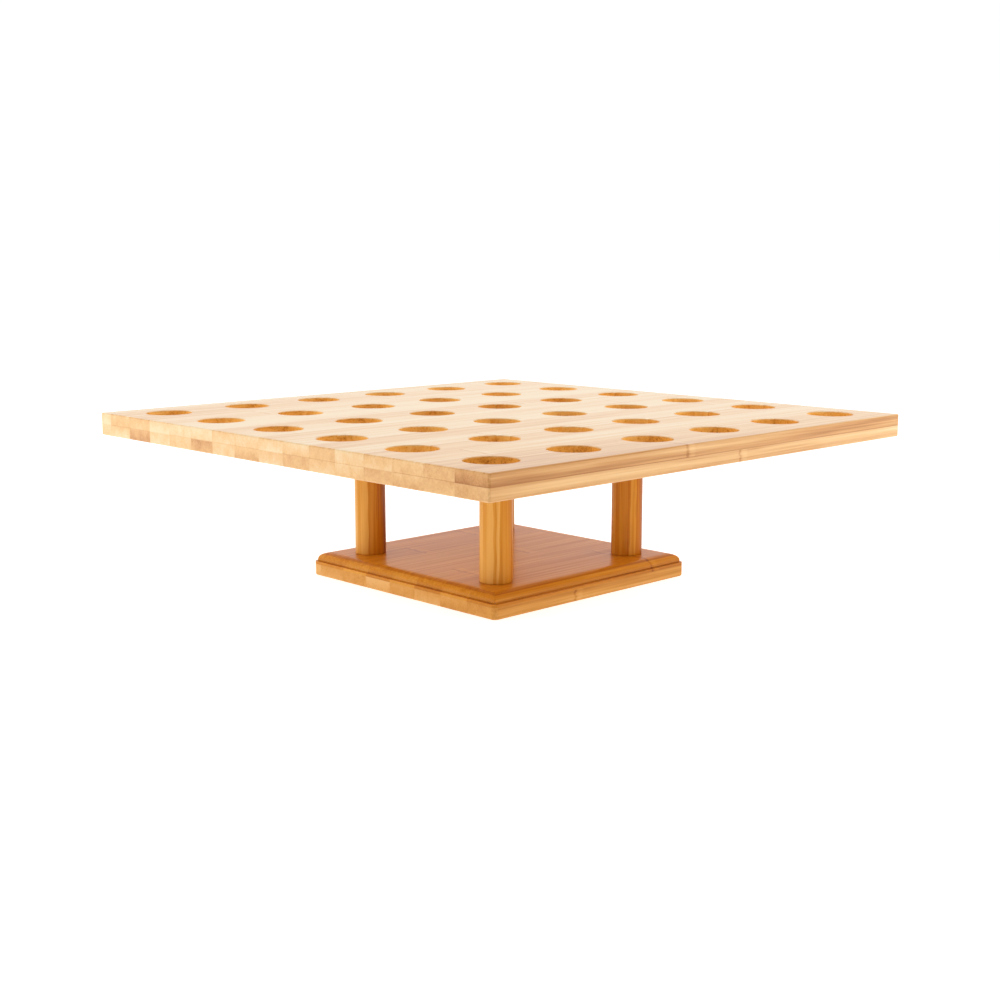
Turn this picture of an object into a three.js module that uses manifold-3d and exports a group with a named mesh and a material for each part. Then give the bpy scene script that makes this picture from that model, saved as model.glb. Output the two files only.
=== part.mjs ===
// Bamboo cone display stand: a square board with a grid of round holes, held up by
// four round legs on a smaller base board with a moulded edge.
// Millimetres, +Z up. The origin is the centre of the underside, and the board sides
// run along X and Y. Front is -Y and left is -X.

import * as THREE from "three";
import { mergeVertices } from "three/addons/utils/BufferGeometryUtils.js";
import Module from "manifold-3d";

// Top board: two glued plies, drilled through for the cones
const TOP_SIDE = 400;
const TOP_PLY = 7.9;
const TOP_CORNER_RADIUS = 2.5;
const TOP_EASE = 0.8;
const HOLES_PER_SIDE = 6;
const HOLE_DIAMETER = 32;
const HOLE_EDGE_DISTANCE = 34.5; // board edge to the centre of the outermost holes

// Legs: each stands between four holes, a little nearer the middle of the board
const LEG_DIAMETER = 22;
const LEG_LENGTH = 84.7;
const LEG_CHAMFER = 0.5;
const LEG_INSET = 1.2; // from the point midway between four holes towards the middle

// Base board: two glued plies, with a rounded upper edge above a small step
const BASE_PLY = 8.15;
const BASE_CORNER_RADIUS = 4;
const BASE_EASE = 0.9;
const LEG_TO_BASE_EDGE = 29.5; // leg centre to the nearest side of the base
const ROUNDOVER_WIDTH = 8; // the rounded edge is part of an ellipse, wider than high
const ROUNDOVER_HEIGHT = 5.4;
const STEP_WIDTH = 2;
const STEP_HEIGHT = 0.8;

// Dowel pins: hidden, each glued into a leg and up into the top board
const PIN_DIAMETER = 8;
const PIN_CHAMFER = 0.8;
const PIN_IN_LEG = 19;
const PIN_IN_BOARD = 11;

// Screws: countersunk, up through the base into each leg
const SCREW_DIAMETER = 4;
const SCREW_LENGTH = 40;
const SCREW_TIP = 6;
const HEAD_DIAMETER = 8;
const HEAD_RIM = 0.3;
const HEAD_RECESS = 0.5; // head face above the underside
const DRIVE_LENGTH = 4.4;
const DRIVE_WIDTH = 0.9;
const DRIVE_DEPTH = 1.8;

// Clearances
const GLUE_LINE = 0.1; // between two glued or clamped faces
const PIN_CLEARANCE = 0.3; // around a pin and past its ends
const SCREW_CLEARANCE = 0.3; // around a screw and past its tip

// Roundness of the model: sides per full turn, and steps in the moulded edge
const HOLE_SIDES = 24;
const LEG_SIDES = 32;
const SMALL_SIDES = 16;
const ROUNDOVER_STEPS = 5;
const CORNER_STEPS = 4;
const OVERCUT = 1; // how far a cutting tool stands past the face that it cuts

// Worked out from the sizes above
const topHalf = TOP_SIDE / 2;
const holePitch = (TOP_SIDE - 2 * HOLE_EDGE_DISTANCE) / (HOLES_PER_SIDE - 1);
const legOffset = holePitch - LEG_INSET;
const baseHalf = legOffset + LEG_TO_BASE_EDGE;
const legRadius = LEG_DIAMETER / 2;
const pinRadius = PIN_DIAMETER / 2;
const screwRadius = SCREW_DIAMETER / 2;
const headRadius = HEAD_DIAMETER / 2;

const baseUpperZ = BASE_PLY + GLUE_LINE;
const baseTopZ = baseUpperZ + BASE_PLY;
const legZ = baseTopZ + GLUE_LINE;
const topLowerZ = legZ + LEG_LENGTH + GLUE_LINE;
const topUpperZ = topLowerZ + TOP_PLY + GLUE_LINE;

const corners = [
  { name: "front_left", x: -legOffset, y: -legOffset },
  { name: "front_right", x: legOffset, y: -legOffset },
  { name: "back_left", x: -legOffset, y: legOffset },
  { name: "back_right", x: legOffset, y: legOffset },
];

const wasm = await Module();
wasm.setup();

// A closed three.js geometry as a solid that can be joined and cut
function solidFrom(geometry) {
  const bare = geometry.clone();
  bare.deleteAttribute("normal");
  bare.deleteAttribute("uv");
  const merged = mergeVertices(bare);
  const triVerts = [];
  for (let i = 0; i < merged.index.count; i += 3) {
    const [a, b, c] = [0, 1, 2].map((k) => merged.index.getX(i + k));
    if (a !== b && b !== c && c !== a) {
      triVerts.push(a, b, c);
    }
  }
  const vertProperties = new Float32Array(merged.attributes.position.array);
  const mesh = new wasm.Mesh({ numProp: 3, vertProperties, triVerts: new Uint32Array(triVerts) });
  return new wasm.Manifold(mesh);
}

// A solid back as a three.js geometry with flat faces
function geometryFrom(solid) {
  const mesh = solid.getMesh();
  const indexed = new THREE.BufferGeometry();
  indexed.setAttribute("position", new THREE.BufferAttribute(mesh.vertProperties, 3));
  indexed.setIndex(new THREE.BufferAttribute(mesh.triVerts, 1));
  const geometry = indexed.toNonIndexed();
  geometry.computeVertexNormals();
  return geometry;
}

// A profile of [radius, height] pairs, listed from the bottom up, turned about Z
function turned(profile, sides, startAngle = 0) {
  const points = profile.map(([radius, height]) => new THREE.Vector2(radius, height));
  const geometry = new THREE.LatheGeometry(points, sides, startAngle);
  return geometry.rotateX(Math.PI / 2);
}

// A square board whose edge follows a profile of [half width, height] pairs, bottom up.
// The edge is mitred at the corners, and the corners are then rounded in plan.
function squareBoard(profile, half, thickness, cornerRadius) {
  const turnedProfile = profile.map(([width, height]) => [width * Math.SQRT2, height]);
  const mitred = solidFrom(turned(turnedProfile, 4, Math.PI / 4));
  const outline = new THREE.Shape();
  const straight = half - cornerRadius;
  outline.moveTo(straight, -half);
  outline.absarc(straight, -straight, cornerRadius, -Math.PI / 2, 0, false);
  outline.absarc(straight, straight, cornerRadius, 0, Math.PI / 2, false);
  outline.absarc(-straight, straight, cornerRadius, Math.PI / 2, Math.PI, false);
  outline.absarc(-straight, -straight, cornerRadius, Math.PI, 1.5 * Math.PI, false);
  const depth = thickness + 2 * OVERCUT;
  const prism = new THREE.ExtrudeGeometry(outline, { depth, bevelEnabled: false, curveSegments: CORNER_STEPS });
  prism.translate(0, 0, -OVERCUT);
  return mitred.intersect(solidFrom(prism));
}

// A round cutting tool about (x, y), from one height to another
function drill(x, y, radius, fromZ, toZ, sides) {
  const geometry = new THREE.CylinderGeometry(radius, radius, toZ - fromZ, sides);
  geometry.rotateX(Math.PI / 2);
  geometry.translate(x, y, (fromZ + toZ) / 2);
  return solidFrom(geometry);
}

function drillConeHoles(board) {
  let solid = board;
  for (let column = 0; column < HOLES_PER_SIDE; column += 1) {
    for (let row = 0; row < HOLES_PER_SIDE; row += 1) {
      const x = HOLE_EDGE_DISTANCE - topHalf + column * holePitch;
      const y = HOLE_EDGE_DISTANCE - topHalf + row * holePitch;
      const tool = drill(x, y, HOLE_DIAMETER / 2, -OVERCUT, TOP_PLY + OVERCUT, HOLE_SIDES);
      solid = solid.subtract(tool);
    }
  }
  return solid;
}

function topUpperPly() {
  const profile = [
    [0, 0],
    [topHalf, 0],
    [topHalf, TOP_PLY - TOP_EASE],
    [topHalf - TOP_EASE, TOP_PLY],
    [0, TOP_PLY],
  ];
  let solid = drillConeHoles(squareBoard(profile, topHalf, TOP_PLY, TOP_CORNER_RADIUS));
  const socketDepth = topLowerZ + PIN_IN_BOARD + PIN_CLEARANCE - topUpperZ;
  for (const { x, y } of corners) {
    solid = solid.subtract(drill(x, y, pinRadius + PIN_CLEARANCE, -OVERCUT, socketDepth, SMALL_SIDES));
  }
  return geometryFrom(solid);
}

function topLowerPly() {
  const profile = [
    [0, 0],
    [topHalf - TOP_EASE, 0],
    [topHalf, TOP_EASE],
    [topHalf, TOP_PLY],
    [0, TOP_PLY],
  ];
  let solid = drillConeHoles(squareBoard(profile, topHalf, TOP_PLY, TOP_CORNER_RADIUS));
  for (const { x, y } of corners) {
    const tool = drill(x, y, pinRadius + PIN_CLEARANCE, -OVERCUT, TOP_PLY + OVERCUT, SMALL_SIDES);
    solid = solid.subtract(tool);
  }
  return geometryFrom(solid);
}

function baseUpperPly() {
  const stepZ = BASE_PLY - ROUNDOVER_HEIGHT - STEP_HEIGHT;
  const flatHalf = baseHalf - STEP_WIDTH - ROUNDOVER_WIDTH;
  const profile = [
    [0, 0],
    [baseHalf, 0],
    [baseHalf, stepZ],
    [baseHalf - STEP_WIDTH, stepZ],
  ];
  for (let i = 0; i <= ROUNDOVER_STEPS; i += 1) {
    const angle = (i / ROUNDOVER_STEPS) * (Math.PI / 2);
    const width = flatHalf + ROUNDOVER_WIDTH * Math.cos(angle);
    const height = BASE_PLY - ROUNDOVER_HEIGHT + ROUNDOVER_HEIGHT * Math.sin(angle);
    profile.push([width, height]);
  }
  profile.push([0, BASE_PLY]);
  let solid = squareBoard(profile, baseHalf, BASE_PLY, BASE_CORNER_RADIUS);
  for (const { x, y } of corners) {
    const tool = drill(x, y, screwRadius + SCREW_CLEARANCE, -OVERCUT, BASE_PLY + OVERCUT, SMALL_SIDES);
    solid = solid.subtract(tool);
  }
  return geometryFrom(solid);
}

function baseLowerPly() {
  const profile = [
    [0, 0],
    [baseHalf - BASE_EASE, 0],
    [baseHalf, BASE_EASE],
    [baseHalf, BASE_PLY],
    [0, BASE_PLY],
  ];
  let solid = squareBoard(profile, baseHalf, BASE_PLY, BASE_CORNER_RADIUS);
  const holeRadius = screwRadius + SCREW_CLEARANCE;
  const seatRadius = headRadius + SCREW_CLEARANCE;
  const seatZ = HEAD_RECESS + HEAD_RIM;
  const countersink = turned(
    [
      [0, -OVERCUT],
      [seatRadius, -OVERCUT],
      [seatRadius, seatZ],
      [holeRadius, seatZ + seatRadius - holeRadius],
      [holeRadius, BASE_PLY + OVERCUT],
      [0, BASE_PLY + OVERCUT],
    ],
    SMALL_SIDES,
  );
  for (const { x, y } of corners) {
    solid = solid.subtract(solidFrom(countersink.clone().translate(x, y, 0)));
  }
  return geometryFrom(solid);
}

// A round post, bored from below for its screw and from above for its pin
function leg() {
  const pilotRadius = screwRadius + SCREW_CLEARANCE;
  const pilotDepth = HEAD_RECESS + SCREW_LENGTH + SCREW_CLEARANCE - legZ;
  const socketRadius = pinRadius + PIN_CLEARANCE;
  const socketFloor = LEG_LENGTH + GLUE_LINE - PIN_IN_LEG - PIN_CLEARANCE;
  const profile = [
    [0, pilotDepth],
    [pilotRadius, pilotDepth],
    [pilotRadius, 0],
    [legRadius - LEG_CHAMFER, 0],
    [legRadius, LEG_CHAMFER],
    [legRadius, LEG_LENGTH - LEG_CHAMFER],
    [legRadius - LEG_CHAMFER, LEG_LENGTH],
    [socketRadius, LEG_LENGTH],
    [socketRadius, socketFloor],
    [0, socketFloor],
  ];
  return turned(profile, LEG_SIDES);
}

function dowelPin() {
  const length = PIN_IN_LEG + PIN_IN_BOARD;
  const profile = [
    [0, 0],
    [pinRadius - PIN_CHAMFER, 0],
    [pinRadius, PIN_CHAMFER],
    [pinRadius, length - PIN_CHAMFER],
    [pinRadius - PIN_CHAMFER, length],
    [0, length],
  ];
  return turned(profile, SMALL_SIDES);
}

// A countersunk wood screw with its head face at height 0 and its tip up
function screw() {
  const neckZ = HEAD_RIM + headRadius - screwRadius;
  const profile = [
    [0, 0],
    [headRadius, 0],
    [headRadius, HEAD_RIM],
    [screwRadius, neckZ],
    [screwRadius, SCREW_LENGTH - SCREW_TIP],
    [0, SCREW_LENGTH],
  ];
  let solid = solidFrom(turned(profile, SMALL_SIDES));
  for (const [sizeX, sizeY] of [[DRIVE_LENGTH, DRIVE_WIDTH], [DRIVE_WIDTH, DRIVE_LENGTH]]) {
    const slot = new THREE.BoxGeometry(sizeX, sizeY, DRIVE_DEPTH + OVERCUT);
    slot.translate(0, 0, (DRIVE_DEPTH - OVERCUT) / 2);
    solid = solid.subtract(solidFrom(slot));
  }
  return geometryFrom(solid);
}

const materials = {
  topBamboo: new THREE.MeshStandardMaterial({ color: 0xe6b67c, roughness: 0.25 }),
  baseBamboo: new THREE.MeshStandardMaterial({ color: 0xcf8f45, roughness: 0.22 }),
  legBamboo: new THREE.MeshStandardMaterial({ color: 0xd9923f, roughness: 0.25 }),
  pinWood: new THREE.MeshStandardMaterial({ color: 0xd8b98c, roughness: 0.7 }),
  screwSteel: new THREE.MeshStandardMaterial({ color: 0xb9bcc0, roughness: 0.3, metalness: 1 }),
};

const stand = new THREE.Group();

function place(parent, name, geometry, material, x, y, z) {
  const mesh = new THREE.Mesh(geometry, material);
  mesh.name = name;
  mesh.position.set(x, y, z);
  parent.add(mesh);
}

const baseBoard = new THREE.Group();
place(baseBoard, "base_lower_ply", baseLowerPly(), materials.baseBamboo, 0, 0, 0);
place(baseBoard, "base_upper_ply", baseUpperPly(), materials.baseBamboo, 0, 0, baseUpperZ);
stand.add(baseBoard);

const topBoard = new THREE.Group();
place(topBoard, "top_lower_ply", topLowerPly(), materials.topBamboo, 0, 0, topLowerZ);
place(topBoard, "top_upper_ply", topUpperPly(), materials.topBamboo, 0, 0, topUpperZ);
stand.add(topBoard);

for (const { name, x, y } of corners) {
  place(stand, `leg_${name}`, leg(), materials.legBamboo, x, y, legZ);
  place(stand, `dowel_pin_${name}`, dowelPin(), materials.pinWood, x, y, topLowerZ - PIN_IN_LEG);
  place(stand, `base_screw_${name}`, screw(), materials.screwSteel, x, y, HEAD_RECESS);
}

export default stand;
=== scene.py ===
"""Bamboo cone display stand: a square board with a grid of round holes on four round legs
and a smaller base board. Metres, +Z up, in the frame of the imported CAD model."""

import math

import bmesh
import bpy
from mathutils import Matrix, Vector
from mathutils.geometry import delaunay_2d_cdt


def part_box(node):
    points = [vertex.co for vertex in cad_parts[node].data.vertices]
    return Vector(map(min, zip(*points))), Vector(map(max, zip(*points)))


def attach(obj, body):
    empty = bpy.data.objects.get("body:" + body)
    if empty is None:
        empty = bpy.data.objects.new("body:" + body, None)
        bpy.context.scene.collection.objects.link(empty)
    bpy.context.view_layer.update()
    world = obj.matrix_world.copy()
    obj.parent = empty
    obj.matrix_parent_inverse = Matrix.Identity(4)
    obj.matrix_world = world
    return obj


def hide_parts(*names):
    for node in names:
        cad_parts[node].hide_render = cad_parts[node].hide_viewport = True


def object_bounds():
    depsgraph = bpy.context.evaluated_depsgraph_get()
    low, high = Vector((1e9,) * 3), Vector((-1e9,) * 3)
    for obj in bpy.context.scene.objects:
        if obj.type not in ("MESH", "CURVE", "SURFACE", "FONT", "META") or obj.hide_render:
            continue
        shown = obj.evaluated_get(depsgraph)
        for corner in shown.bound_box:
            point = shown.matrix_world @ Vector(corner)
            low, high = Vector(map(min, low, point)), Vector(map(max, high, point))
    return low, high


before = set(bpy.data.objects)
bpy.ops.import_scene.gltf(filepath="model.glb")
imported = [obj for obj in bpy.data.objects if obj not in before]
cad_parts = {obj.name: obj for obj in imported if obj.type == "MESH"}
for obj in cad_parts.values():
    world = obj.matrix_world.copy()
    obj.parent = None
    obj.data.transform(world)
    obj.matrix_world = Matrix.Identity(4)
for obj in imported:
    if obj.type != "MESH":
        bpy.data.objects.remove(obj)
cad_low, cad_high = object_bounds()

MM = 0.001
FULL_TURN = 2 * math.pi
CORNERS = ("front_left", "front_right", "back_left", "back_right")

# Shape details that the CAD model leaves out or keeps coarse
RIM_EASE = 0.9 * MM  # rounded rim of each cone hole
TOP_EASE = 1.0 * MM  # rounded edge of the top board, above and below
TOP_CORNER = 1.4 * MM
BASE_EASE = 1.2 * MM
BASE_CORNER = 4.0 * MM
MITRE_CORNER = 0.2 * MM  # all but sharp, where the moulded edge meets itself
STEP_WIDTH = 2.0 * MM
STEP_HEIGHT = 0.8 * MM
STEP_CORNER = 1.2 * MM
ROUNDOVER_WIDTH = 8.0 * MM
ROUNDOVER_HEIGHT = 5.4 * MM
LEG_EASE = 0.5 * MM
GLUE_GAP = 0.08 * MM  # glued faces stand this much closer together than in the CAD model
SAME_HEIGHT = 1e-7  # heights closer than this are the same
MERGE_DISTANCE = 1e-7

# How finely curves are cut
EASE_STEPS = 4
ROUNDOVER_STEPS = 14
CORNER_STEPS = 8
HOLE_SIDES = 64
JOINT_HOLE_SIDES = 32
LEG_SIDES = 72
SCREW_SIDES = 32

# The grid of cone holes and the joints under it
HOLES_PER_SIDE = 6
HOLE_RADIUS = 16.0 * MM
HOLE_EDGE_DISTANCE = 34.5 * MM
SOCKET_RADIUS = 4.3 * MM
SOCKET_CLEARANCE = 0.3 * MM  # beyond the end of a pin or a screw
SCREW_HOLE_RADIUS = 2.3 * MM
SCREW_SEAT_RADIUS = 4.3 * MM
SCREW_SEAT_DEPTH = 0.8 * MM

# Dowel pins
PIN_RADIUS = 4.0 * MM
PIN_CHAMFER = 0.8 * MM
PIN_FLUTES = 18
PIN_FLUTE_DEPTH = 0.25 * MM

# Wood screws
HEAD_RADIUS = 4.0 * MM
HEAD_RIM = 0.3 * MM
SHANK_RADIUS = 1.5 * MM
THREAD_RADIUS = 1.98 * MM
NECK_TAPER = 1.0 * MM
THREAD_PITCH = 1.8 * MM
THREAD_START = 8.0 * MM  # from the head's face
THREAD_HALF_WIDTH = 0.3  # share of the pitch, from crest to root
THREAD_ROWS_PER_TURN = 10
TIP_LENGTH = 6.0 * MM
# The cross recess from the mouth down: depth, length, width, fillet
CROSS_RECESS = [
    (0.0, 4.6 * MM, 1.0 * MM, 0.5 * MM),
    (1.2 * MM, 3.0 * MM, 0.8 * MM, 0.4 * MM),
    (1.9 * MM, 1.2 * MM, 0.6 * MM, 0.2 * MM),
]


# ---------------------------------------------------------------- places from the frame

def centre_of(node):
    low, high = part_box(node)
    return (low + high) / 2


top_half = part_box("top_upper_ply")[1].x
hole_pitch = 2 * (top_half - HOLE_EDGE_DISTANCE) / (HOLES_PER_SIDE - 1)
hole_rows = [HOLE_EDGE_DISTANCE - top_half + i * hole_pitch for i in range(HOLES_PER_SIDE)]
hole_centres = [(x, y) for x in hole_rows for y in hole_rows]
leg_centres = {corner: centre_of(f"leg_{corner}") for corner in CORNERS}


# ---------------------------------------------------------------- mesh building

class Builder:
    """Collects rings of points and the faces between them, and makes one closed piece."""

    def __init__(self):
        self.points = []
        self.faces = []

    def ring(self, points):
        start = len(self.points)
        self.points.extend(points)
        return list(range(start, start + len(points)))

    def bridge(self, first, second):
        count = len(first)
        for i in range(count):
            j = (i + 1) % count
            self.faces.append((first[i], first[j], second[j], second[i]))

    def rings(self, outlines):
        made = [self.ring(points) for points in outlines]
        for first, second in zip(made, made[1:]):
            self.bridge(first, second)
        return made

    def cap(self, outer, holes=()):
        """Fills the flat area inside the outer ring and outside the hole rings."""
        if not holes:
            self.faces.append(tuple(outer))
            return
        loops = [outer, *holes]
        index = [i for loop in loops for i in loop]
        flat = [Vector(self.points[i][:2]) for i in index]
        edges = []
        start = 0
        for loop in loops:
            edges += [(start + i, start + (i + 1) % len(loop)) for i in range(len(loop))]
            start += len(loop)
        found = delaunay_2d_cdt(flat, edges, [], 0, MERGE_DISTANCE)
        corners, triangles, sources = found[0], found[2], found[3]
        back = [index[source[0]] for source in sources]
        outline, *hole_outlines = [[flat_point(self.points[i]) for i in loop] for loop in loops]
        for triangle in triangles:
            middle = sum((corners[i] for i in triangle), Vector((0, 0))) / 3
            in_hole = any(inside(middle, hole) for hole in hole_outlines)
            if inside(middle, outline) and not in_hole:
                self.faces.append(tuple(back[i] for i in triangle))

    def piece(self, name, smooth_angle=35):
        """Makes the object. Edges that bend by more than the angle, in degrees, stay sharp."""
        mesh = bpy.data.meshes.new(name)
        mesh.from_pydata(self.points, [], self.faces)
        work = bmesh.new()
        work.from_mesh(mesh)
        bmesh.ops.recalc_face_normals(work, faces=work.faces)
        limit = math.radians(smooth_angle)
        for edge in work.edges:
            edge.smooth = edge.calc_face_angle(0) < limit
        for face in work.faces:
            face.smooth = True
        work.to_mesh(mesh)
        work.free()
        made = bpy.data.objects.new(name, mesh)
        bpy.context.scene.collection.objects.link(made)
        weighted = made.modifiers.new("weighted_normals", "WEIGHTED_NORMAL")
        weighted.keep_sharp = True
        return made


def flat_point(point):
    return Vector((point[0], point[1]))


def inside(point, outline):
    """Whether a point lies in a closed outline, by counting the edges to its right."""
    crossings = 0
    for a, b in zip(outline, outline[1:] + outline[:1]):
        if (a.y > point.y) != (b.y > point.y):
            crossing_x = a.x + (point.y - a.y) / (b.y - a.y) * (b.x - a.x)
            crossings += crossing_x > point.x
    return crossings % 2 == 1


def circle(x, y, z, radius, sides):
    turns = [FULL_TURN * i / sides for i in range(sides)]
    return [(x + radius * math.cos(a), y + radius * math.sin(a), z) for a in turns]


def rounded_square(half, radius, z):
    """A square outline about the origin with rounded corners, anticlockwise."""
    points = []
    straight = half - radius
    for quarter, (sx, sy) in enumerate([(1, 1), (-1, 1), (-1, -1), (1, -1)]):
        for i in range(CORNER_STEPS + 1):
            a = (quarter + i / CORNER_STEPS) * math.pi / 2
            x = sx * straight + radius * math.cos(a)
            y = sy * straight + radius * math.sin(a)
            points.append((x, y, z))
    return points


def arc(centre_u, centre_v, radius, start, end, steps):
    """Points (u, v) on an arc between two angles in degrees."""
    angles = [math.radians(start + (end - start) * i / steps) for i in range(steps + 1)]
    return [(centre_u + radius * math.cos(a), centre_v + radius * math.sin(a)) for a in angles]


def finish_piece(piece, nodes, material):
    piece.data.materials.append(material)
    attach(piece, "root")
    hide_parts(*nodes)


# ---------------------------------------------------------------- boards

def board(name, edge_profile, bores):
    """A square board. The edge profile lists (half side, height, corner radius) from the
    bottom up. Each bore is a list of (x, y, radius, height) from the top face down; a bore
    that ends above the bottom face is closed there."""
    build = Builder()
    edge = build.rings([rounded_square(half, radius, z) for half, z, radius in edge_profile])
    bottom_z, top_z = edge_profile[0][1], edge_profile[-1][1]
    top_holes, bottom_holes = [], []
    for bore in bores:
        first_radius = bore[0][2]
        sides = HOLE_SIDES if first_radius >= HOLE_RADIUS else JOINT_HOLE_SIDES
        made = build.rings([circle(x, y, z, radius, sides) for x, y, radius, z in bore])
        first_z, last_z = bore[0][3], bore[-1][3]
        if abs(first_z - top_z) < SAME_HEIGHT:
            top_holes.append(made[0])
        else:
            build.cap(made[0])
        if abs(last_z - bottom_z) < SAME_HEIGHT:
            bottom_holes.append(made[-1])
        else:
            build.cap(made[-1])
    build.cap(edge[-1], top_holes)
    build.cap(edge[0], bottom_holes)
    return build.piece(name)


def top_upper_board(material):
    low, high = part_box("top_upper_ply")
    z0, z1 = low.z - GLUE_GAP, high.z
    edge = [(top_half, z0, TOP_CORNER)]
    for u, v in arc(top_half - TOP_EASE, z1 - TOP_EASE, TOP_EASE, 0, 90, EASE_STEPS):
        edge.append((u, v, max(TOP_CORNER - (top_half - u), MITRE_CORNER)))
    rim = arc(HOLE_RADIUS + RIM_EASE, z1 - RIM_EASE, RIM_EASE, 90, 180, EASE_STEPS)
    bores = [[(x, y, u, v) for u, v in rim] + [(x, y, HOLE_RADIUS, z0)] for x, y in hole_centres]
    socket_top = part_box("dowel_pin_front_left")[1].z + SOCKET_CLEARANCE
    for centre in leg_centres.values():
        bores.append([(centre.x, centre.y, SOCKET_RADIUS, z) for z in (socket_top, z0)])
    piece = board("top_board_upper_layer", edge, bores)
    finish_piece(piece, ["top_upper_ply"], material)


def top_lower_board(material):
    low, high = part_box("top_lower_ply")
    z0, z1 = low.z, high.z
    edge = []
    for u, v in arc(top_half - TOP_EASE, z0 + TOP_EASE, TOP_EASE, -90, 0, EASE_STEPS):
        edge.append((u, v, max(TOP_CORNER - (top_half - u), MITRE_CORNER)))
    edge.append((top_half, z1, TOP_CORNER))
    rim = arc(HOLE_RADIUS + RIM_EASE, z0 + RIM_EASE, RIM_EASE, 180, 270, EASE_STEPS)
    bores = [[(x, y, HOLE_RADIUS, z1)] + [(x, y, u, v) for u, v in rim] for x, y in hole_centres]
    for centre in leg_centres.values():
        bores.append([(centre.x, centre.y, SOCKET_RADIUS, z) for z in (z1, z0)])
    piece = board("top_board_lower_layer", edge, bores)
    finish_piece(piece, ["top_lower_ply"], material)


def base_upper_board(material):
    low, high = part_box("base_upper_ply")
    z0, z1, half = low.z - GLUE_GAP, high.z, high.x
    curve_z = z1 - ROUNDOVER_HEIGHT
    flat = half - STEP_WIDTH - ROUNDOVER_WIDTH
    step_z = curve_z - STEP_HEIGHT
    edge = [(half, z0, BASE_CORNER), (half, step_z, BASE_CORNER)]
    edge.append((half - STEP_WIDTH, step_z, STEP_CORNER))
    for u, v in arc(0, 0, 1, 0, 90, ROUNDOVER_STEPS):
        width = flat + ROUNDOVER_WIDTH * u
        corner = max(STEP_CORNER - ROUNDOVER_WIDTH * (1 - u), MITRE_CORNER)
        edge.append((width, curve_z + ROUNDOVER_HEIGHT * v, corner))
    bores = [
        [(centre.x, centre.y, SCREW_HOLE_RADIUS, z) for z in (z1, z0)]
        for centre in leg_centres.values()
    ]
    piece = board("base_board_upper_layer", edge, bores)
    finish_piece(piece, ["base_upper_ply"], material)


def base_lower_board(material):
    low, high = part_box("base_lower_ply")
    z0, z1, half = low.z, high.z, high.x
    cone_top_z = SCREW_SEAT_DEPTH + SCREW_SEAT_RADIUS - SCREW_HOLE_RADIUS
    edge = []
    for u, v in arc(half - BASE_EASE, z0 + BASE_EASE, BASE_EASE, -90, 0, EASE_STEPS):
        edge.append((u, v, BASE_CORNER - (half - u)))
    edge.append((half, z1, BASE_CORNER))
    bores = []
    for centre in leg_centres.values():
        profile = [
            (SCREW_HOLE_RADIUS, z1),
            (SCREW_HOLE_RADIUS, cone_top_z),
            (SCREW_SEAT_RADIUS, SCREW_SEAT_DEPTH),
            (SCREW_SEAT_RADIUS, z0),
        ]
        bores.append([(centre.x, centre.y, radius, z) for radius, z in profile])
    piece = board("base_board_lower_layer", edge, bores)
    finish_piece(piece, ["base_lower_ply"], material)


# ---------------------------------------------------------------- legs, pins and screws

def leg(corner, material):
    node = f"leg_{corner}"
    low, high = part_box(node)
    low.z -= GLUE_GAP
    high.z += GLUE_GAP
    centre = leg_centres[corner]
    radius = high.x - centre.x
    pilot_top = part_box(f"base_screw_{corner}")[1].z + SOCKET_CLEARANCE
    socket_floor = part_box(f"dowel_pin_{corner}")[0].z - SOCKET_CLEARANCE
    profile = [(SCREW_HOLE_RADIUS, pilot_top), (SCREW_HOLE_RADIUS, low.z)]
    profile += arc(radius - LEG_EASE, low.z + LEG_EASE, LEG_EASE, -90, 0, EASE_STEPS)
    profile += arc(radius - LEG_EASE, high.z - LEG_EASE, LEG_EASE, 0, 90, EASE_STEPS)
    profile += [(SOCKET_RADIUS, high.z), (SOCKET_RADIUS, socket_floor)]
    build = Builder()
    made = build.rings([circle(centre.x, centre.y, z, r, LEG_SIDES) for r, z in profile])
    build.cap(made[0])
    build.cap(made[-1])
    piece = build.piece(f"round_leg_{corner}")
    finish_piece(piece, [node], material)


def dowel_pin(corner, material):
    """A fluted pin: the grooves let glue and air out of the blind holes."""
    node = f"dowel_pin_{corner}"
    low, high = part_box(node)
    centre = leg_centres[corner]
    sides = PIN_FLUTES * 4
    end_radius = PIN_RADIUS - PIN_CHAMFER
    # Each ring: radius, height, and 1 where the flutes are at their full depth
    profile = [
        (end_radius, low.z, 0),
        (PIN_RADIUS, low.z + PIN_CHAMFER, 1),
        (PIN_RADIUS, high.z - PIN_CHAMFER, 1),
        (end_radius, high.z, 0),
    ]
    build = Builder()
    outlines = []
    for ring_radius, z, fluted in profile:
        points = []
        for i in range(sides):
            a = FULL_TURN * i / sides
            groove = fluted * PIN_FLUTE_DEPTH * (1 - math.cos(PIN_FLUTES * a)) / 2
            r = ring_radius - groove
            points.append((centre.x + r * math.cos(a), centre.y + r * math.sin(a), z))
        outlines.append(points)
    made = build.rings(outlines)
    build.cap(made[0])
    build.cap(made[-1])
    piece = build.piece(f"fluted_pin_{corner}", 60)
    finish_piece(piece, [node], material)


def cross_outline(x, y, z, length, width, fillet):
    """The outline of a cross recess, anticlockwise, with its inner corners filleted."""
    arm, half = length / 2, width / 2
    points = []
    for quarter in range(4):
        turn = quarter * math.pi / 2
        local = [(arm, -half), (arm, half), (half + fillet, half)]
        local += arc(half + fillet, half + fillet, fillet, 270, 180, 3)[1:-1]
        local += [(half, half + fillet)]
        for u, v in local:
            px = x + u * math.cos(turn) - v * math.sin(turn)
            py = y + u * math.sin(turn) + v * math.cos(turn)
            points.append((px, py, z))
    return points


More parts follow.
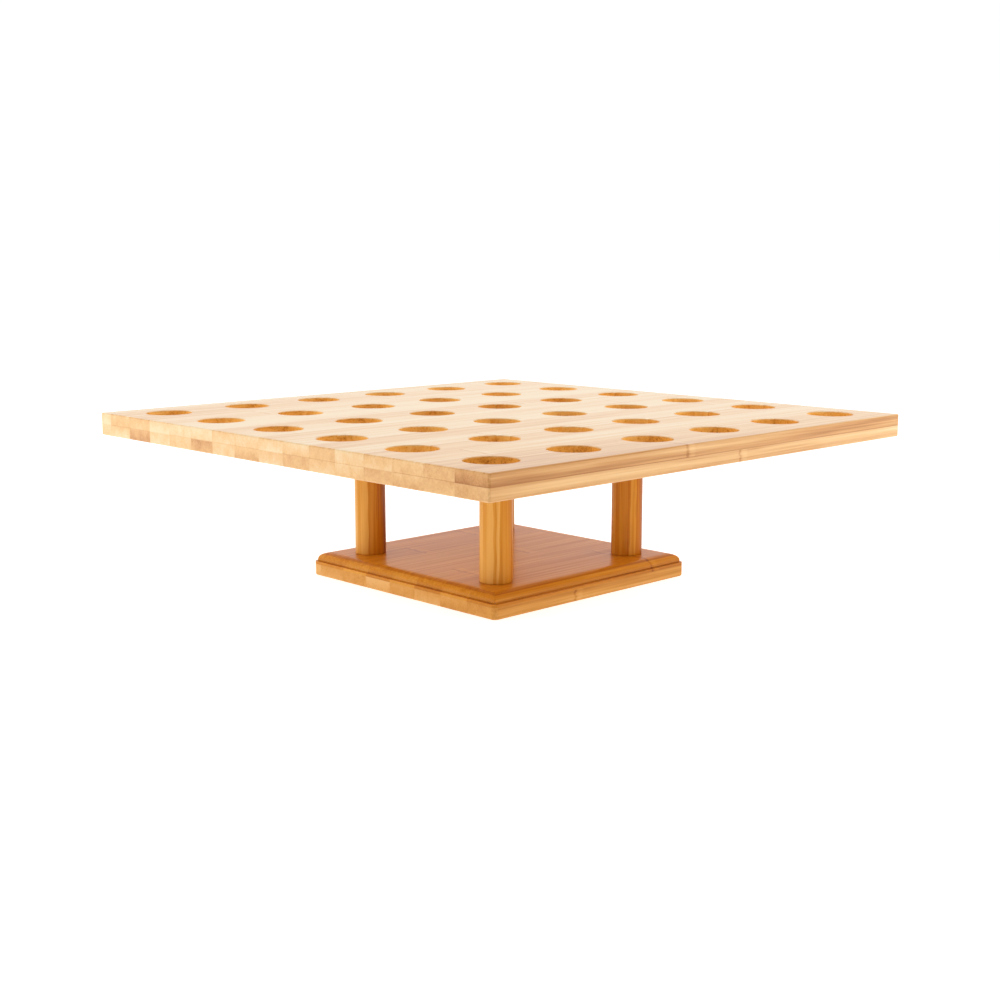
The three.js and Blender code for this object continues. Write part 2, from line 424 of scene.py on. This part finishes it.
def thread_ring(x, y, z, start_z, end_z):
    """One ring of the thread, which winds up the shank and tapers to the tip."""
    taper = min(1.0, (end_z - z) / TIP_LENGTH)
    points = []
    for i in range(SCREW_SIDES):
        a = FULL_TURN * i / SCREW_SIDES
        phase = ((z - start_z) / THREAD_PITCH - i / SCREW_SIDES) % 1.0
        crest = max(0.0, 1 - abs(phase - 0.5) / THREAD_HALF_WIDTH)
        r = (SHANK_RADIUS + (THREAD_RADIUS - SHANK_RADIUS) * crest) * taper
        points.append((x + r * math.cos(a), y + r * math.sin(a), z))
    return points


def wood_screw(corner, material):
    """A countersunk wood screw, head down, with a cross recess and a rolled thread."""
    node = f"base_screw_{corner}"
    low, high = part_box(node)
    x, y = leg_centres[corner].x, leg_centres[corner].y
    start_z = low.z + THREAD_START
    neck_z = low.z + HEAD_RIM + HEAD_RADIUS - THREAD_RADIUS
    profile = [
        (HEAD_RADIUS, low.z),
        (HEAD_RADIUS, low.z + HEAD_RIM),
        (THREAD_RADIUS, neck_z),
        (SHANK_RADIUS, neck_z + NECK_TAPER),
    ]
    shell = [circle(x, y, z, radius, SCREW_SIDES) for radius, z in profile]
    rows = int((high.z - start_z) / (THREAD_PITCH / THREAD_ROWS_PER_TURN))
    for row in range(rows):
        z = start_z + (high.z - start_z) * row / rows
        shell.append(thread_ring(x, y, z, start_z, high.z))
    build = Builder()
    made = build.rings(shell)
    tip = build.ring([(x, y, high.z)])[0]
    for i in range(SCREW_SIDES):
        build.faces.append((made[-1][i], made[-1][(i + 1) % SCREW_SIDES], tip))
    recess = [
        cross_outline(x, y, low.z + depth, length, width, fillet)
        for depth, length, width, fillet in CROSS_RECESS
    ]
    cut = build.rings(recess)
    build.cap(cut[-1])
    build.cap(made[0], [cut[0]])
    piece = build.piece(f"wood_screw_{corner}", 40)
    finish_piece(piece, [node], material)


# ---------------------------------------------------------------- material graphs

class Graph:
    """A material's node graph, built with short calls. A number given for an input is set
    on the socket itself, and anything else is linked."""

    def __init__(self, name):
        self.material = bpy.data.materials.new(name)
        self.material.use_nodes = True
        self.tree = self.material.node_tree
        self.tree.nodes.clear()
        self.output = self.add("ShaderNodeOutputMaterial")
        self.shader = self.add("ShaderNodeBsdfPrincipled")
        self.tree.links.new(self.shader.outputs[0], self.output.inputs[0])

    def add(self, kind, **settings):
        node = self.tree.nodes.new(kind)
        for key, value in settings.items():
            setattr(node, key, value)
        return node

    def give(self, socket, value):
        if isinstance(value, bpy.types.NodeSocket):
            self.tree.links.new(value, socket)
        else:
            socket.default_value = value

    def math(self, operation, first, second=0.0, third=0.0, clamp=False):
        node = self.add("ShaderNodeMath", operation=operation, use_clamp=clamp)
        for socket, value in zip(node.inputs, (first, second, third)):
            self.give(socket, value)
        return node.outputs[0]

    def plus(self, first, second):
        return self.math("ADD", first, second)

    def minus(self, first, second):
        return self.math("SUBTRACT", first, second)

    def times(self, first, second):
        return self.math("MULTIPLY", first, second)

    def size_of(self, value):
        return self.math("ABSOLUTE", value)

    def scaled(self, value, scale, offset):
        return self.math("MULTIPLY_ADD", value, scale, offset)

    def place(self):
        """The piece's own coordinates, in metres."""
        return self.add("ShaderNodeTexCoord").outputs["Object"]

    def facing(self):
        """How far the surface faces along X, Y and Z, from 0 to 1 each."""
        normal = self.add("ShaderNodeNewGeometry").outputs["True Normal"]
        absolute = self.add("ShaderNodeVectorMath", operation="ABSOLUTE")
        self.give(absolute.inputs[0], normal)
        return self.split(absolute.outputs[0])

    def split(self, vector):
        node = self.add("ShaderNodeSeparateXYZ")
        self.give(node.inputs[0], vector)
        return node.outputs[0], node.outputs[1], node.outputs[2]

    def join(self, x, y, z):
        node = self.add("ShaderNodeCombineXYZ")
        for socket, value in zip(node.inputs, (x, y, z)):
            self.give(socket, value)
        return node.outputs[0]

    def stretch(self, vector, scale):
        node = self.add("ShaderNodeVectorMath", operation="MULTIPLY")
        self.give(node.inputs[0], vector)
        node.inputs[1].default_value = scale
        return node.outputs[0]

    def shift(self, vector, offset):
        node = self.add("ShaderNodeVectorMath", operation="ADD")
        self.give(node.inputs[0], vector)
        self.give(node.inputs[1], offset)
        return node.outputs[0]

    def noise(self, vector, detail=2.0, roughness=0.5):
        """Noise from 0 to 1 about a middle of 0.5, with one lump per unit of the vector."""
        node = self.add("ShaderNodeTexNoise")
        self.give(node.inputs["Vector"], vector)
        node.inputs["Scale"].default_value = 1.0
        node.inputs["Detail"].default_value = detail
        node.inputs["Roughness"].default_value = roughness
        return node.outputs["Fac"]

    def cells(self, vector, randomness=1.0):
        """Distance to the nearest of a set of scattered points, about one per unit."""
        node = self.add("ShaderNodeTexVoronoi")
        self.give(node.inputs["Vector"], vector)
        node.inputs["Scale"].default_value = 1.0
        node.inputs["Randomness"].default_value = randomness
        return node.outputs["Distance"]

    def ramp(self, value, stops, interpolation="LINEAR"):
        """A colour for each value. Stops are (position, colour) in order."""
        node = self.add("ShaderNodeValToRGB")
        node.color_ramp.interpolation = interpolation
        elements = node.color_ramp.elements
        while len(elements) > 1:
            elements.remove(elements[-1])
        for i, (position, colour) in enumerate(stops):
            element = elements[0] if i == 0 else elements.new(position)
            element.position = position
            element.color = (*colour, 1.0)
        self.give(node.inputs[0], value)
        return node.outputs[0]

    def fade(self, value, start, end):
        """0 where the value is at start, 1 where it is at end, smooth between."""
        node = self.add("ShaderNodeMapRange", interpolation_type="SMOOTHSTEP")
        self.give(node.inputs["Value"], value)
        node.inputs["From Min"].default_value = start
        node.inputs["From Max"].default_value = end
        return node.outputs["Result"]

    def blend(self, share, first, second):
        node = self.add("ShaderNodeMix", data_type="RGBA")
        self.give(node.inputs["Factor"], share)
        colours = [socket for socket in node.inputs if socket.type == "RGBA"]
        self.give(colours[0], first)
        self.give(colours[1], second)
        return next(socket for socket in node.outputs if socket.type == "RGBA")

    def bump(self, height, strength, distance):
        node = self.add("ShaderNodeBump")
        node.inputs["Strength"].default_value = strength
        node.inputs["Distance"].default_value = distance
        self.give(node.inputs["Height"], height)
        return node.outputs[0]

    def set(self, name, value):
        self.give(self.shader.inputs[name], value)


# ---------------------------------------------------------------- bamboo

# Bamboo runs from pale straw to caramel. Tone 0 is the palest and 1 the darkest.
TOP_PALETTE = [
    (0.0, (0.78, 0.58, 0.33)),
    (0.35, (0.74, 0.44, 0.18)),
    (0.7, (0.58, 0.28, 0.085)),
    (1.0, (0.38, 0.14, 0.025)),
]
BASE_PALETTE = [
    (0.0, (0.72, 0.41, 0.135)),
    (0.4, (0.60, 0.28, 0.050)),
    (0.75, (0.42, 0.155, 0.011)),
    (1.0, (0.23, 0.06, 0.003)),
]
MOULDING_PALETTE = [
    (0.0, (0.70, 0.34, 0.046)),
    (0.4, (0.54, 0.205, 0.009)),
    (0.75, (0.39, 0.120, 0.003)),
    (1.0, (0.19, 0.045, 0.001)),
]
WALL_PALETTE = [
    (0.0, (0.90, 0.52, 0.14)),
    (0.45, (0.78, 0.36, 0.060)),
    (0.75, (0.52, 0.19, 0.018)),
    (1.0, (0.26, 0.07, 0.005)),
]
LEG_PALETTE = [
    (0.0, (0.75, 0.40, 0.090)),
    (0.4, (0.60, 0.25, 0.020)),
    (0.75, (0.46, 0.138, 0.001)),
    (1.0, (0.24, 0.055, 0.001)),
]

STRIP_WIDTH = 25.7 * MM
PLY_HALF = 4.0 * MM
COAT_IOR = 1.5

# Lumps to the metre along X, Y and Z. Fibres are long: along X in a board, Z in a leg
BOARD_GRAIN = {
    "fine": (9, 700, 700),
    "streak": (4, 150, 150),
    "cloud": (7, 26, 26),
    "bundle": (5, 820, 820),
}
LEG_GRAIN = {
    "fine": (800, 800, 10),
    "streak": (260, 260, 5),
    "cloud": (60, 60, 12),
    "bundle": (820, 820, 5),
}
WANDER_SCALE = (9, 30, 30)
RAGGED_SCALE = (60, 260, 260)
SCORCH_SCALE = (900, 900, 700)
RIPPLE_SCALE = (40, 220, 220)

FIBRE_SWING = 3.0 * MM  # how far a fibre wanders sideways
PATTERN_OFFSET = 3.7  # metres that a pattern number of 1 moves the noise by
BUNDLE_EDGE, BUNDLE_CORE = 0.34, 0.10  # distance from a fibre bundle's centre, in cells
KNUCKLE_SWING = 5.0 * MM
KNUCKLE_EDGE, KNUCKLE_CORE = 1.6 * MM, 0.4 * MM
PALE_BAND_PLACE = 4.5 * MM  # from the knuckle's line
PALE_BAND_EDGE, PALE_BAND_CORE = 3.5 * MM, 1.0 * MM
GLUE_LINE_EDGE, GLUE_LINE_CORE = 0.30 * MM, 0.08 * MM
STAIN_AND_SHADE_EDGE, STAIN_AND_SHADE_CORE = 1.25, 0.75  # shares of half a band's width, for stains and for painted shade
HOLE_ZONE_START, HOLE_ZONE_END = 10 * MM, 12 * MM  # from the board's edges
UPRIGHT_START, UPRIGHT_END = 0.5, 0.1  # how far a surface faces up or down
END_GRAIN_START, END_GRAIN_END = 0.75, 0.98  # how far a surface faces along the grain
END_GRAIN_EVENNESS = 0.65
FLAT_FACE_EVENNESS = 0.35
SCORCH_START, SCORCH_END = 0.52, 0.68

# How much darker each feature makes the tone
CLOUD_WEIGHT = 0.45
FINE_WEIGHT = 0.85
BUNDLE_WEIGHT = 0.12
BUNDLE_MEAN = 0.15
DEPTH_WEIGHT = 0.34
KNUCKLE_WEIGHT = 0.22
PALE_BAND_WEIGHT = -0.10
GLUE_LINE_WEIGHT = 0.12
WALL_WEIGHT = 0.08
SCORCH_WEIGHT = 0.26


def strip_values(g, y, half, strips):
    """The strip that a place is in: its tone, the place of its knuckle as a share of the
    board's length, and its pattern number. They are carried as one colour."""
    stops = []
    for i, (tone, knuckle, pattern) in enumerate(strips):
        colour = (tone, 0.5 + knuckle * MM / (2 * half), pattern)
        stops.append((min(1.0, i * STRIP_WIDTH / (2 * half)), colour))
    across = g.math("DIVIDE", g.plus(y, half), 2 * half)
    strip = g.add("ShaderNodeSeparateColor")
    g.give(strip.inputs[0], g.ramp(across, stops, "CONSTANT"))
    return strip.outputs[0], strip.outputs[1], strip.outputs[2]


def fibre_textures(g, place, grain):
    """Fine fibres, broad streaks, cloudy patches, and the bundles that end grain shows as
    dots."""
    fine = g.noise(g.stretch(place, grain["fine"]), 3.0, 0.6)
    streak = g.noise(g.stretch(place, grain["streak"]), 2.0, 0.5)
    cloud = g.noise(g.stretch(place, grain["cloud"]), 2.0, 0.5)
    cells = g.cells(g.stretch(place, grain["bundle"]))
    return fine, streak, cloud, g.fade(cells, BUNDLE_EDGE, BUNDLE_CORE)


def fibre_coordinates(g, x, y, z, pattern):
    """Fibres run along X and wander a little, and each strip has its own part of the noise."""
    wander = g.noise(g.stretch(g.place(), WANDER_SCALE), 1.0)
    swing = g.times(g.minus(wander, 0.5), FIBRE_SWING)
    offset = g.times(pattern, PATTERN_OFFSET)
    return g.join(g.plus(x, offset), g.plus(g.plus(y, swing), offset), z)


def knuckle_marks(g, x, half, knuckle_share, fibre_place):
    """A dark wavy line across the strip, and the paler band on one side of it."""
    ragged = g.noise(g.stretch(fibre_place, RAGGED_SCALE), 2.0)
    knuckle_x = g.times(g.minus(knuckle_share, 0.5), 2 * half)
    away = g.plus(g.minus(x, knuckle_x), g.times(g.minus(ragged, 0.5), KNUCKLE_SWING))
    line = g.fade(g.size_of(away), KNUCKLE_EDGE, KNUCKLE_CORE)
    beside = g.size_of(g.minus(away, PALE_BAND_PLACE))
    return line, g.fade(beside, PALE_BAND_EDGE, PALE_BAND_CORE)


def hole_walls(g, x, y, half, facing_z):
    """1 on upright surfaces well inside the board's edges, which are the walls of holes."""
    farthest = g.math("MAXIMUM", g.size_of(x), g.size_of(y))
    within = g.fade(g.minus(half, farthest), HOLE_ZONE_START, HOLE_ZONE_END)
    return g.times(within, g.fade(facing_z, UPRIGHT_START, UPRIGHT_END))


def glue_lines(g, y, half):
    """The thin lines between strips."""
    in_strip = g.math("FRACT", g.math("DIVIDE", g.plus(y, half), STRIP_WIDTH))
    from_joint = g.minus(0.5, g.size_of(g.minus(in_strip, 0.5)))
    return g.fade(g.times(from_joint, STRIP_WIDTH), GLUE_LINE_EDGE, GLUE_LINE_CORE)


def stain_and_shade_band(g, z, low_z, high_z):
    """A darker band between two heights, with soft edges, for stains and for painted shade."""
    middle = (low_z + high_z) / 2
    reach = (high_z - low_z) / 2
    return g.fade(g.size_of(g.minus(z, middle)), reach * STAIN_AND_SHADE_EDGE, reach * STAIN_AND_SHADE_CORE)


def mixed_tone(g, tone, parts):
    """The tone with each part added. A part is a value, its weight and its mean."""
    for value, weight, mean in parts:
        tone = g.plus(tone, g.times(g.minus(value, mean), weight))
    return g.math("MAXIMUM", tone, 0.0)


def bamboo_board(name, node, strips, finish, stain_and_shade=()):
    """Strips side by side along Y, with their grain along X. Each strip is a tone, the X
    of its knuckle in millimetres, and a number that sets its own pattern of fibres. The
    number also says which face of the strip is the denser, darker one. In the finish,
    contrast is the strength of the streaks, and drift is how much darker a strip is
    towards -X. Each band of stain or of painted shade is a pair of heights and a weight."""
    low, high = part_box(node)
    half = high.x
    g = Graph(name)
    x, y, z = g.split(g.place())
    tone, knuckle_share, pattern = strip_values(g, y, half, strips)
    fibre_place = fibre_coordinates(g, x, y, z, pattern)
    fine, streak, cloud, bundle = fibre_textures(g, fibre_place, BOARD_GRAIN)
    line, pale = knuckle_marks(g, x, half, knuckle_share, fibre_place)
    joint = glue_lines(g, y, half)

    # Bamboo is denser and darker towards the outside of the culm
    height = g.math("DIVIDE", g.minus(z, (low.z + high.z) / 2), PLY_HALF)
    depth = g.times(height, g.minus(pattern, 0.5))

    # End grain is the most even, and the flat faces are more even than the long edges.
    # The walls of the holes are darker, with specks that the drill has scorched
    facing = g.facing()
    end_grain = g.fade(facing[0], END_GRAIN_START, END_GRAIN_END)
    wall = hole_walls(g, x, y, half, facing[2])
    flat_evenness = g.times(facing[2], FLAT_FACE_EVENNESS)
    even = g.plus(g.times(end_grain, END_GRAIN_EVENNESS), flat_evenness)
    uneven = g.minus(1.0, even)
    fine_here = g.times(g.minus(fine, 0.5), g.scaled(end_grain, -0.5, 1.0))
    scorching = g.noise(g.stretch(g.place(), SCORCH_SCALE), 2.0, 0.7)
    specks = g.fade(scorching, SCORCH_START, SCORCH_END)

    parts = [
        (g.times(g.minus(streak, 0.5), uneven), finish["contrast"], 0.0),
        (g.times(g.minus(cloud, 0.5), uneven), CLOUD_WEIGHT, 0.0),
        (fine_here, FINE_WEIGHT, 0.0),
        (bundle, BUNDLE_WEIGHT, BUNDLE_MEAN),
        (depth, DEPTH_WEIGHT, 0.0),
        (line, KNUCKLE_WEIGHT, 0.0),
        (pale, PALE_BAND_WEIGHT, 0.0),
        (joint, GLUE_LINE_WEIGHT, 0.0),
        (wall, WALL_WEIGHT, 0.0),
        (g.times(wall, specks), SCORCH_WEIGHT, 0.0),
    ]
    # Bands of stain, and the painted shade on the base's moulding
    for low_z, high_z, weight in stain_and_shade:
        parts.append((stain_and_shade_band(g, z, low_z, high_z), weight, 0.0))
    drifted = g.times(tone, g.scaled(x, -finish["drift"] / half, 1.0))
    total = mixed_tone(g, drifted, parts)
    face_colour = g.ramp(total, finish["palette"])
    g.set("Base Color", g.blend(wall, face_colour, g.ramp(total, WALL_PALETTE)))
    lacquer_board(g, fine, bundle, joint, wall, finish["coat"])
    return g.material


def lacquer_board(g, fine, bundle, joint, wall, coat):
    """The relief of the wood, and a clear coat over the faces but not in the bores."""
    g.set("Roughness", g.scaled(fine, 0.22, 0.26))
    g.set("Specular IOR Level", 0.15)
    g.set("Coat Weight", g.times(g.minus(1.0, wall), coat))
    g.set("Coat Roughness", 0.14)
    g.set("Coat IOR", COAT_IOR)
    relief = g.minus(g.times(fine, 0.6), g.plus(g.times(bundle, 0.4), joint))
    g.set("Normal", g.bump(relief, 0.35, 0.12 * MM))
    ripple = g.noise(g.stretch(g.place(), RIPPLE_SCALE), 2.0)
    g.set("Coat Normal", g.bump(ripple, 0.12, 0.10 * MM))


LEG_SPAN = 24 * MM  # the width that the layers' places are shares of
LEG_TURN = math.radians(-45)  # turns the layers about the leg's axis, so they lie side by side across the camera's view
LAYER_SWING = 5.0 * MM
LEG_WANDER_SCALE = (60, 60, 20)


def bamboo_leg(name, centre, layer_and_shade_stops):
    """A turned dowel cut from laminated bamboo: layers across, fibres along Z. The layers are
    tones at places across the leg, from the camera's left to its right. The tones are partly the
    laminate's own and partly painted light and shade, copying each leg's lit and shaded sides."""
    g = Graph(name)
    local = g.shift(g.place(), (-centre.x, -centre.y, 0.0))
    x, y = g.split(local)[:2]
    across = g.plus(g.times(x, math.cos(LEG_TURN)), g.times(y, math.sin(LEG_TURN)))
    wander = g.noise(g.stretch(local, LEG_WANDER_SCALE), 2.0)
    across = g.plus(across, g.times(g.minus(wander, 0.5), LAYER_SWING))
    share = g.plus(g.math("DIVIDE", across, LEG_SPAN), 0.5)
    stops = [(position, (tone, tone, tone)) for position, tone in layer_and_shade_stops]
    # The tones paint each leg's lit and shaded sides as well as its laminate
    layer_and_shade_tone = g.ramp(share, stops, "CONSTANT")

    fine, streak, cloud, bundle = fibre_textures(g, local, LEG_GRAIN)
    parts = [
        (streak, 0.9, 0.5),
        (fine, 0.5, 0.5),
        (cloud, 0.4, 0.5),
        (bundle, 0.16, BUNDLE_MEAN),
    ]
    g.set("Base Color", g.ramp(mixed_tone(g, layer_and_shade_tone, parts), LEG_PALETTE))
    g.set("Roughness", g.scaled(fine, 0.2, 0.28))
    g.set("Specular IOR Level", 0.08)
    g.set("Coat Weight", 0.13)
    g.set("Coat Roughness", 0.16)
    g.set("Coat IOR", COAT_IOR)
    g.set("Normal", g.bump(g.minus(fine, bundle), 0.35, 0.10 * MM))
    return g.material


PIN_PALETTE = [(0.25, (0.60, 0.42, 0.24)), (0.75, (0.78, 0.62, 0.42))]
ZINC_PALETTE = [(0.3, (0.55, 0.56, 0.58)), (0.7, (0.72, 0.73, 0.75))]


def turned_hardwood():
    g = Graph("bare_hardwood")
    place = g.place()
    grain = g.noise(g.stretch(place, (900, 900, 40)), 3.0, 0.6)
    bands = g.noise(g.stretch(place, (300, 300, 12)), 2.0)
    shade = g.plus(g.times(grain, 0.5), g.times(bands, 0.5))
    g.set("Base Color", g.ramp(shade, PIN_PALETTE))
    g.set("Roughness", g.scaled(grain, 0.2, 0.6))
    g.set("Normal", g.bump(grain, 0.4, 0.1 * MM))
    return g.material


def zinc_plate():
    g = Graph("zinc_plated_steel")
    mottle = g.noise(g.stretch(g.place(), (500, 500, 500)), 3.0, 0.6)
    g.set("Base Color", g.ramp(mottle, ZINC_PALETTE))
    g.set("Metallic", 1.0)
    g.set("Roughness", g.scaled(mottle, 0.2, 0.2))
    g.set("Normal", g.bump(mottle, 0.1, 0.05 * MM))
    return g.material


# Strips from front to back. Tone, knuckle X in mm, pattern number
TOP_UPPER_STRIPS = [
    (0.62, -37, 0.08), (0.40, 96, 0.53), (0.29, -150, 0.27), (0.25, 31, 0.83),
    (0.19, -88, 0.41), (0.34, 158, 0.67), (0.18, -12, 0.05), (0.13, 121, 0.91),
    (0.19, -171, 0.36), (0.19, 60, 0.74), (0.10, -60, 0.19), (0.10, 176, 0.48),
    (0.05, -118, 0.97), (0.28, 12, 0.62), (0.28, 139, 0.31), (0.07, -79, 0.79),
]
TOP_LOWER_STRIPS = [
    (0.42, 15, 0.44), (0.34, -124, 0.87), (0.38, 72, 0.13), (0.38, -45, 0.58),
    (0.27, 160, 0.24), (0.24, -95, 0.71), (0.38, 40, 0.39), (0.20, -166, 0.93),
    (0.38, 110, 0.07), (0.20, -20, 0.52), (0.49, 84, 0.81), (0.22, -140, 0.29),
    (0.15, 20, 0.66), (0.50, 129, 0.16), (0.22, -70, 0.99), (0.20, 50, 0.35),
]
BASE_UPPER_STRIPS = [
    (0.42, 60, 0.33), (0.30, 52, 0.76), (0.46, -61, 0.09), (0.28, 15, 0.61),
    (0.40, 80, 0.22), (0.26, -38, 0.89), (0.38, 34, 0.47), (0.30, -75, 0.14),
]
BASE_LOWER_STRIPS = [
    (0.44, -20, 0.69), (0.44, -48, 0.18), (0.26, 24, 0.95), (0.38, -80, 0.42),
    (0.14, 44, 0.06), (0.40, -12, 0.56), (0.30, 71, 0.84), (0.14, -55, 0.37),
]

# Layers of each leg: place across it from 0 to 1, camera's left to right, and tone, partly
# painted light and shade
LEG_LAYER_AND_SHADE_STOPS = {
    "front_left": [(0.0, 0.18), (0.42, 0.46), (0.50, 0.18), (0.58, 0.52), (0.63, 0.46)],
    "front_right": [(0.0, 0.52), (0.30, 0.72), (0.55, 0.48), (0.72, 0.72)],
    "back_left": [(0.0, 0.22), (0.28, 0.34), (0.46, 0.62), (0.70, 0.78)],
    "back_right": [(0.0, 0.40), (0.45, 0.66), (0.66, 0.30)],
}


TOP_FINISH = {"palette": TOP_PALETTE, "coat": 0.44, "contrast": 1.35, "drift": 0.3}
MOULDING_FINISH = {"palette": MOULDING_PALETTE, "coat": 0.2, "contrast": 0.45, "drift": 0.0}
BASE_FINISH = {"palette": BASE_PALETTE, "coat": 0.2, "contrast": 1.1, "drift": 0.0}


def top_stain():
    """Glue shows as a darker line where the two layers of the top meet."""
    joint_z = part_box("top_upper_ply")[0].z
    return [(joint_z - 0.1 * MM, joint_z + 0.35 * MM, 0.22)]


def moulding_painted_shade():
    """Painted shade: a dark band of painted shadow in the step under the moulded edge, and one
    along its shoulder, which lies in the shade of the top board.
    """
    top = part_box("base_upper_ply")[1].z
    curve_z = top - ROUNDOVER_HEIGHT
    # Painted shadow in the step, and painted shade on the shoulder under the top board
    shade_in_step = (curve_z - STEP_HEIGHT, curve_z - 0.1 * MM, 0.20)
    shade_on_shoulder = (top - 1.4 * MM, top - 0.3 * MM, 0.24)
    return [shade_in_step, shade_on_shoulder]


def build_stand():
    # What makes each board, the stem of its names, its strips, finish, and its bands of stain
    # and painted shade
    boards = [
        (top_upper_board, "top_upper", TOP_UPPER_STRIPS, TOP_FINISH, top_stain()),
        (top_lower_board, "top_lower", TOP_LOWER_STRIPS, TOP_FINISH, []),
        (base_upper_board, "base_upper", BASE_UPPER_STRIPS, MOULDING_FINISH, moulding_painted_shade()),
        (base_lower_board, "base_lower", BASE_LOWER_STRIPS, BASE_FINISH, []),
    ]
    for make_board, ply, strips, finish, stain_and_shade in boards:
        material = bamboo_board(f"{ply}_bamboo", f"{ply}_ply", strips, finish, stain_and_shade)
        make_board(material)
    hardwood = turned_hardwood()
    zinc = zinc_plate()
    for corner in CORNERS:
        leg(corner, bamboo_leg(f"leg_bamboo_{corner}", leg_centres[corner], LEG_LAYER_AND_SHADE_STOPS[corner]))
        dowel_pin(corner, hardwood)
        wood_screw(corner, zinc)


# ---------------------------------------------------------------- floor, light and camera

CAMERA_HEADING = math.radians(45.90)  # from +X towards +Y
CAMERA_ELEVATION = math.radians(9.72)
CAMERA_DISTANCE = 1.0382
CAMERA_LENS = 52.23  # millimetres
AIM = Vector((0.0008, -0.0008, cad_high.z - 0.0624))

WHITE = (1.0, 1.0, 1.0, 1.0)
FLOOR_RADIUS = 30.0
FLOOR_COLOUR = (0.70, 0.70, 0.70, 1.0)
FLOOR_GLOW = 0.70
CAMERA_SIDE_STRENGTH = 0.40
BACKDROP_STRENGTH = 1.02

# Name, place, aim, size and watts of each light, and whether it shows in reflections.
# The side lights don't, or they would mirror as hard white patches on the flat top
SOFTBOXES = [
    ("left_softbox", (-0.9, 0.7, 0.4), (0, 0, 0.08), (0.8, 0.6), 5, False),
    ("right_softbox", (0.7, -0.9, 0.4), (0, 0, 0.08), (0.8, 0.6), 5, False),
    ("overhead_softbox", (0.3, 0.3, 1.6), (0, 0, 0), (1.6, 1.6), 12, True),
]


def floor():
    build = Builder()
    build.cap(build.ring(circle(0, 0, 0, FLOOR_RADIUS, 96)))
    piece = build.piece("studio_floor")
    g = Graph("studio_floor_white")
    g.set("Base Color", FLOOR_COLOUR)
    g.set("Roughness", 0.9)
    g.set("Specular IOR Level", 0.1)
    g.set("Emission Color", WHITE)
    g.set("Emission Strength", FLOOR_GLOW)
    piece.data.materials.append(g.material)


def softbox(name, place, aim, size, power, in_reflections):
    light = bpy.data.lights.new(name, "AREA")
    light.shape = "RECTANGLE"
    light.size, light.size_y = size
    light.energy = power
    lamp = bpy.data.objects.new(name, light)
    lamp.location = place
    lamp.rotation_euler = (Vector(aim) - Vector(place)).to_track_quat("-Z", "Y").to_euler()
    lamp.visible_glossy = in_reflections
    bpy.context.scene.collection.objects.link(lamp)


def lighting():
    """A bright, even studio: the backdrop side is white and the camera side is dimmer."""
    world = bpy.data.worlds.new("studio")
    world.use_nodes = True
    bpy.context.scene.world = world
    nodes, links = world.node_tree.nodes, world.node_tree.links
    direction = nodes.new("ShaderNodeTexCoord").outputs["Generated"]
    backdrop = (math.cos(CAMERA_HEADING), math.sin(CAMERA_HEADING), 0.0)
    towards = nodes.new("ShaderNodeVectorMath")
    towards.operation = "DOT_PRODUCT"
    towards.inputs[1].default_value = backdrop
    links.new(direction, towards.inputs[0])
    strength = nodes.new("ShaderNodeMapRange")
    strength.interpolation_type = "SMOOTHSTEP"
    strength.inputs["From Min"].default_value = -0.5
    strength.inputs["From Max"].default_value = 0.7
    strength.inputs["To Min"].default_value = CAMERA_SIDE_STRENGTH
    strength.inputs["To Max"].default_value = BACKDROP_STRENGTH
    links.new(towards.outputs["Value"], strength.inputs["Value"])
    background = nodes["Background"]
    background.inputs["Color"].default_value = WHITE
    links.new(strength.outputs["Result"], background.inputs["Strength"])
    for settings in SOFTBOXES:
        softbox(*settings)
    bpy.context.scene.view_settings.view_transform = "Standard"


def camera():
    level = math.cos(CAMERA_ELEVATION)
    forward = Vector((
        level * math.cos(CAMERA_HEADING),
        level * math.sin(CAMERA_HEADING),
        -math.sin(CAMERA_ELEVATION),
    ))
    data = bpy.data.cameras.new("camera")
    data.lens = CAMERA_LENS
    made = bpy.data.objects.new("camera", data)
    made.location = AIM - forward * CAMERA_DISTANCE
    made.rotation_euler = forward.to_track_quat("-Z", "Y").to_euler()
    bpy.context.scene.collection.objects.link(made)
    bpy.context.scene.camera = made


camera()
floor()
lighting()
build_stand()
